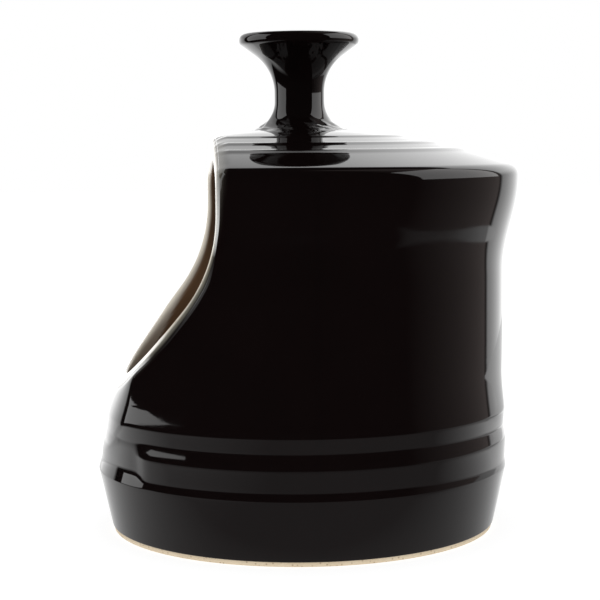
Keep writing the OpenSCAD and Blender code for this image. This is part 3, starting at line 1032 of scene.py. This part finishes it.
def sheet_levels(tree, look):
    """Levels of the sheet and of the dim side of the room in a direction.

    The sheet lies within its half angle of straight ahead and below its top. Low down it is
    brightest in the middle, higher up towards the right. Beside it, on the right, the room is
    dimly lit, less and less towards the camera.
    """
    turn = math_node(tree, "ARCTAN2", dot_with(tree, look, to_right), dot_with(tree, look, -to_camera))
    aside = math_node(tree, "ABSOLUTE", turn)
    rise = math_node(tree, "ARCSINE", dot_with(tree, look, upward))
    wide = ranged(tree, aside, SHEET_HALF - SHEET_SOFT, SHEET_HALF + SHEET_SOFT, 1.0, 0.0)
    high = ranged(tree, rise, SHEET_TOP - SHEET_SOFT, SHEET_TOP + SHEET_SOFT, 1.0, 0.0)
    low_level = ranged(tree, aside, *LOW_TURNS, *LOW_LEVELS)
    high_level = ranged(tree, turn, *HIGH_TURNS, *HIGH_LEVELS)
    raised = ranged(tree, rise, *RAISED, 0.0, 1.0)
    level = blend(tree, raised, low_level, high_level)
    level = math_node(tree, "MULTIPLY", level, math_node(tree, "MULTIPLY", wide, high))
    dim = ranged(tree, turn, SHEET_HALF, DIM_END, DIM_LEVEL, 0.0)
    dim = math_node(tree, "MULTIPLY", dim, ranged(tree, turn, *DIM_START, 0.0, 1.0))
    return math_node(tree, "ADD", level, DARK_LEVEL), dim


look = add_node(sky, "TexCoord").outputs["Generated"]
ray = add_node(sky, "LightPath").outputs
sheet_level, dim_level = sheet_levels(sky, look)
sheet, dim = all_round(sheet_level), all_round(dim_level, DIM_COLOUR)
sheet = add_node(sky, "AddShader", {0: sheet.outputs[0], 1: dim.outputs[0]})
lit = mixed_shaders(sky, ray["Is Glossy Ray"], all_round(EVEN_LEVEL), sheet)
seen = math_node(sky, "MAXIMUM", ray["Is Camera Ray"], ray["Is Transmission Ray"])
lit = mixed_shaders(sky, seen, lit, all_round(1.0))
add_node(sky, "OutputWorld", {"Surface": lit.outputs[0]})
print("sheet", round(math.degrees(2 * SHEET_HALF)), "degrees wide, levels", LOW_LEVELS, HIGH_LEVELS)

# %% [markdown]
# ## Soft boxes
# A soft box is a lamp behind cloth, and the glaze shows it as a pale patch. The left one leans a
# little, which slants its patch.

# %% Soft boxes on both sides
def soft_box(name, turn, distance, low, high, width, level, roll=0):
    """An upright lamp that faces the axis, at a turn from the camera's direction towards its right.

    It shows in the glaze only; matt surfaces have the even light. A roll turns it in its own plane.
    """
    lamp = bpy.data.lights.new(name, "AREA")
    lamp.shape = "RECTANGLE"
    lamp.size, lamp.size_y = width, high - low
    lamp.energy = level * math.pi * width * (high - low)
    lamp_object = bpy.data.objects.new(name, lamp)
    out = to_camera * math.cos(turn) + to_right * math.sin(turn)
    place = out * distance + upward * (low + high) / 2
    across = upward.cross(out)
    facing = Matrix((across, upward, out)).transposed() @ Matrix.Rotation(roll, 3, "Z")
    lamp_object.matrix_world = Matrix.Translation(place) @ facing.to_4x4()
    lamp_object.visible_diffuse = False
    scene.collection.objects.link(lamp_object)
    print(f"{name}: {lamp.energy:.2f} W")


soft_box("left_soft_box", turn=math.radians(-92.0), distance=0.5065, low=0.0270, high=0.74,
         width=0.48, level=1.5, roll=math.radians(6.9))
soft_box("right_soft_box", turn=math.radians(90), distance=0.55, low=0.12, high=0.85,
         width=0.60, level=1.5)

# %% [markdown]
# ## Floor
# The floor is plain and pale. The camera sees it as white with the pot's soft shadow. The black
# glaze reflects a pool round the pot and, on the right, a table with a round edge, dim in front
# and bright behind. Farther off, reflections look past the floor to the sheet and the dark room.

# %% Lay the floor
FLOOR_HALF, FLOOR_POINTS, FLOOR_LIFT, FLOOR_GREY = 3.0, 9, 0.80, (0.45, 0.45, 0.45, 1)
POOL_EDGE = (0.15, 0.19)
TABLE_RUN, TABLE_LEVELS, TABLE_END = (-0.118, 0.09), (0.146, 0.63), (0.12, 0.15)
TABLE_R, TABLE_EDGE, TABLE_FROM, TABLE_MIDDLE = 0.51, 0.003, (0.15, 0.17), (-0.204, -0.223)
FRONT_LEVEL, LEFT_LEVEL, BACK_LEVEL = 0.18, 0.4, 1.2
LEFT_RUN, BACK_RUN = (-0.03, -0.12), (-0.06, 0.04)


def floor_finish():
    """White with the shadow to the camera; a pool and a table to reflections, then nothing."""
    material, tree, shader, place = new_finish("floor")
    fill(tree, shader, {"Base Color": FLOOR_GREY, "Roughness": 0.9, "Specular IOR Level": 0.0})
    away = add_node(tree, "VectorMath", {0: place}, operation="LENGTH").outputs["Value"]
    ray = add_node(tree, "LightPath").outputs
    lit = math_node(tree, "MAXIMUM", ray["Is Camera Ray"], ray["Is Diffuse Ray"])
    lift = math_node(tree, "MULTIPLY", lit, FLOOR_LIFT)
    lift = add_node(tree, "Emission", {"Strength": lift})
    matt = add_node(tree, "AddShader", {0: shader.outputs[0], 1: lift.outputs[0]})
    back_way, right_way = dot_with(tree, place, -to_camera), dot_with(tree, place, to_right)
    behind = ranged(tree, back_way, *BACK_RUN, 0.0, 1.0)
    level = ranged(tree, right_way, *LEFT_RUN, FRONT_LEVEL, LEFT_LEVEL)
    level = blend(tree, behind, level, BACK_LEVEL)
    table = math_node(tree, "MAXIMUM", ranged(tree, back_way, *TABLE_RUN, *TABLE_LEVELS),
                      ranged(tree, back_way, *TABLE_END, 0.0, BACK_LEVEL))
    outside = ranged(tree, away, *POOL_EDGE, 0.0, 1.0)
    pool = add_node(tree, "Emission", {"Strength": blend(tree, outside, level, table)})
    middle = to_right * TABLE_MIDDLE[0] + to_camera * TABLE_MIDDLE[1]
    reach = add_node(tree, "VectorMath", {0: place, 1: middle}, operation="DISTANCE")
    beyond = ranged(tree, reach.outputs["Value"], TABLE_R, TABLE_R + TABLE_EDGE, 0.0, 1.0)
    beside = ranged(tree, right_way, *TABLE_FROM, 1.0, 0.0)
    far = math_node(tree, "MINIMUM", outside, math_node(tree, "MAXIMUM", beyond, beside))
    mirror = mixed_shaders(tree, far, pool, add_node(tree, "BsdfTransparent"))
    both = mixed_shaders(tree, ray["Is Glossy Ray"], matt, mirror)
    tree.links.new(both.outputs[0], tree.nodes["Material Output"].inputs["Surface"])
    return material


u = np.linspace(-FLOOR_HALF, FLOOR_HALF, FLOOR_POINTS) / MM
floor_x, floor_y = np.meshgrid(u, u)
floor = mesh_object("floor", *joined([(np.stack([floor_x, floor_y, 0 * floor_x], axis=-1), False)]))
dress(floor, floor_finish())
